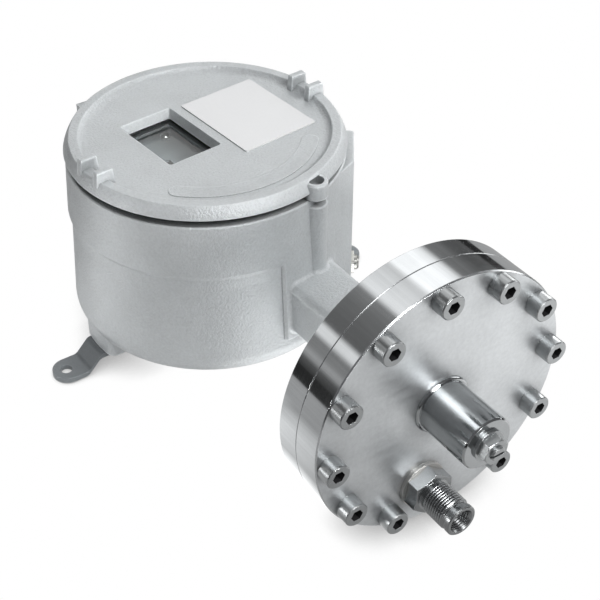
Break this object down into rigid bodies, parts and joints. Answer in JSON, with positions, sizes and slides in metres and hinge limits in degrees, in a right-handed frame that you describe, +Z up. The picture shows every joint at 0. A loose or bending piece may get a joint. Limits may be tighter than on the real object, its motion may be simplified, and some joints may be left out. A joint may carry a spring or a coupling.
{
  "type": "differential pressure switch",
  "caption": "Flameproof differential pressure switch: grey cast round housing with screwed window cover and feet, a neck, and a bolted stainless diaphragm cell with spring tube and fitting.",
  "frame": {"origin": "on the housing's own axis, in the plane of the two feet's undersides, midway between their holes", "axes": "+Z up along the housing axis out of the cover; -Y along the neck towards the diaphragm cell; X along the line of the two feet"},
  "size_m": [0.206, 0.3091, 0.147],
  "materials": {
    "housing_paint": "light grey stove paint over a cast surface",
    "foot_paint": "mid grey paint over sheet steel",
    "flange_steel": "turned stainless steel, bead-blasted front",
    "tube_steel": "bright turned stainless steel",
    "fitting_steel": "turned stainless steel",
    "screw_steel": "plain stainless steel screws",
    "seal_metal": "soft metal sealing ring",
    "black_steel": "blackened steel",
    "seal_rubber": "black rubber",
    "window_glass": "clear toughened glass",
    "nameplate_white": "white coated plate",
    "sheet_steel": "zinc plated sheet",
    "scale_grey": "grey painted plate",
    "inner_brass": "machined brass",
    "switch_plastic": "black moulded plastic",
    "plunger_plastic": "red moulded plastic",
    "terminal_plastic": "grey moulded plastic",
    "inner_steel": "plain machined steel",
    "spring_steel": "spring steel wire",
    "small_screws": "zinc plated screws"
  },
  "bodies": {
    "base": {"housing_body": "housing_paint", "mounting_foot_left": "foot_paint", "mounting_foot_right": "foot_paint", "inner_flange": "flange_steel", "outer_flange": "flange_steel", "spring_tube": "tube_steel", "pressure_fitting": "fitting_steel", "flange_screws": "screw_steel", "lock_nut": "screw_steel", "lock_washer": "screw_steel", "fitting_seal": "seal_metal", "neck_seal": "seal_rubber", "diaphragm": "seal_rubber", "chassis": "sheet_steel", "scale_plate": "scale_grey", "rod_bush": "inner_brass", "microswitch": "switch_plastic", "terminal_block": "terminal_plastic", "lever_pin": "inner_steel", "foot_screws": "small_screws", "earth_screw": "small_screws", "earth_clamp": "small_screws", "inner_earth_screw": "small_screws", "neck_screws": "small_screws", "chassis_screws": "small_screws", "switch_screws": "small_screws", "scale_screws": "small_screws", "terminal_screws": "small_screws", "terminal_block_screws": "small_screws"},
    "cover_ring": {"cover_seal": "seal_rubber"},
    "cover": {"cover": "housing_paint", "window_gasket": "seal_rubber", "window_glass": "window_glass", "window_retainer": "sheet_steel", "retainer_screws": "small_screws", "nameplate": "nameplate_white", "cover_lock_screw": "black_steel"},
    "rod": {"push_rod": "inner_steel", "front_diaphragm_plate": "inner_steel", "rear_diaphragm_plate": "inner_steel", "rod_nut": "inner_steel"},
    "lever": {"lever": "sheet_steel"},
    "plunger": {"switch_plunger": "plunger_plastic"},
    "spindle": {"setting_spindle": "inner_steel"},
    "range_nut": {"range_nut": "inner_brass", "range_spring": "spring_steel"},
    "spring_seat": {"spring_seat": "inner_steel", "counter_spring": "spring_steel"},
    "adjuster": {"adjusting_screw": "screw_steel"}
  },
  "joints": [
    {"name": "cover_lift", "type": "slide", "parent": "base", "child": "cover_ring", "axis": [0, 0, 1], "range_m": [0, 0.009]},
    {"name": "cover_turn", "type": "hinge", "parent": "cover_ring", "child": "cover", "pos_m": [0, 0, 0.1129], "axis": [0, 0, 1], "range_deg": [0, 1620]},
    {"name": "rod_stroke", "type": "slide", "parent": "base", "child": "rod", "axis": [0, 1, 0], "range_m": [-0.0008, 0.0008], "stiffness_N_per_m": 4000, "deforming": ["diaphragm"]},
    {"name": "lever_swing", "type": "hinge", "parent": "base", "child": "lever", "pos_m": [0, -0.04, 0.036], "axis": [-1, 0, 0], "range_deg": [-2.3, 2.3]},
    {"name": "plunger_stroke", "type": "slide", "parent": "base", "child": "plunger", "axis": [0, 1, 0], "range_m": [-0.0016, 0.0016]},
    {"name": "spindle_turn", "type": "hinge", "parent": "base", "child": "spindle", "pos_m": [-0.0167, 0.04, 0.084], "axis": [0, 1, 0], "range_deg": [-2881, 2881]},
    {"name": "range_nut_travel", "type": "slide", "parent": "base", "child": "range_nut", "axis": [0, 1, 0], "range_m": [-0.008, 0.008], "deforming": ["range_spring"]},
    {"name": "seat_travel", "type": "slide", "parent": "base", "child": "spring_seat", "axis": [0, 1, 0], "range_m": [-0.002, 0.004], "deforming": ["counter_spring"]},
    {"name": "adjuster_turn", "type": "hinge", "parent": "spring_seat", "child": "adjuster", "pos_m": [0.01795, -0.21, 0.0568], "axis": [0, 1, 0], "range_deg": [-577, 1153]}
  ],
  "couplings": [
    {"joint": "cover_lift", "follows": "cover_turn", "m_per_rad": 0.00031831},
    {"joint": "lever_swing", "follows": "rod_stroke", "rad_per_m": 48.077},
    {"joint": "plunger_stroke", "follows": "rod_stroke", "ratio": 1.9231},
    {"joint": "spindle_turn", "follows": "range_nut_travel", "rad_per_m": -6283.2},
    {"joint": "adjuster_turn", "follows": "seat_travel", "rad_per_m": 5026.5}
  ]
}
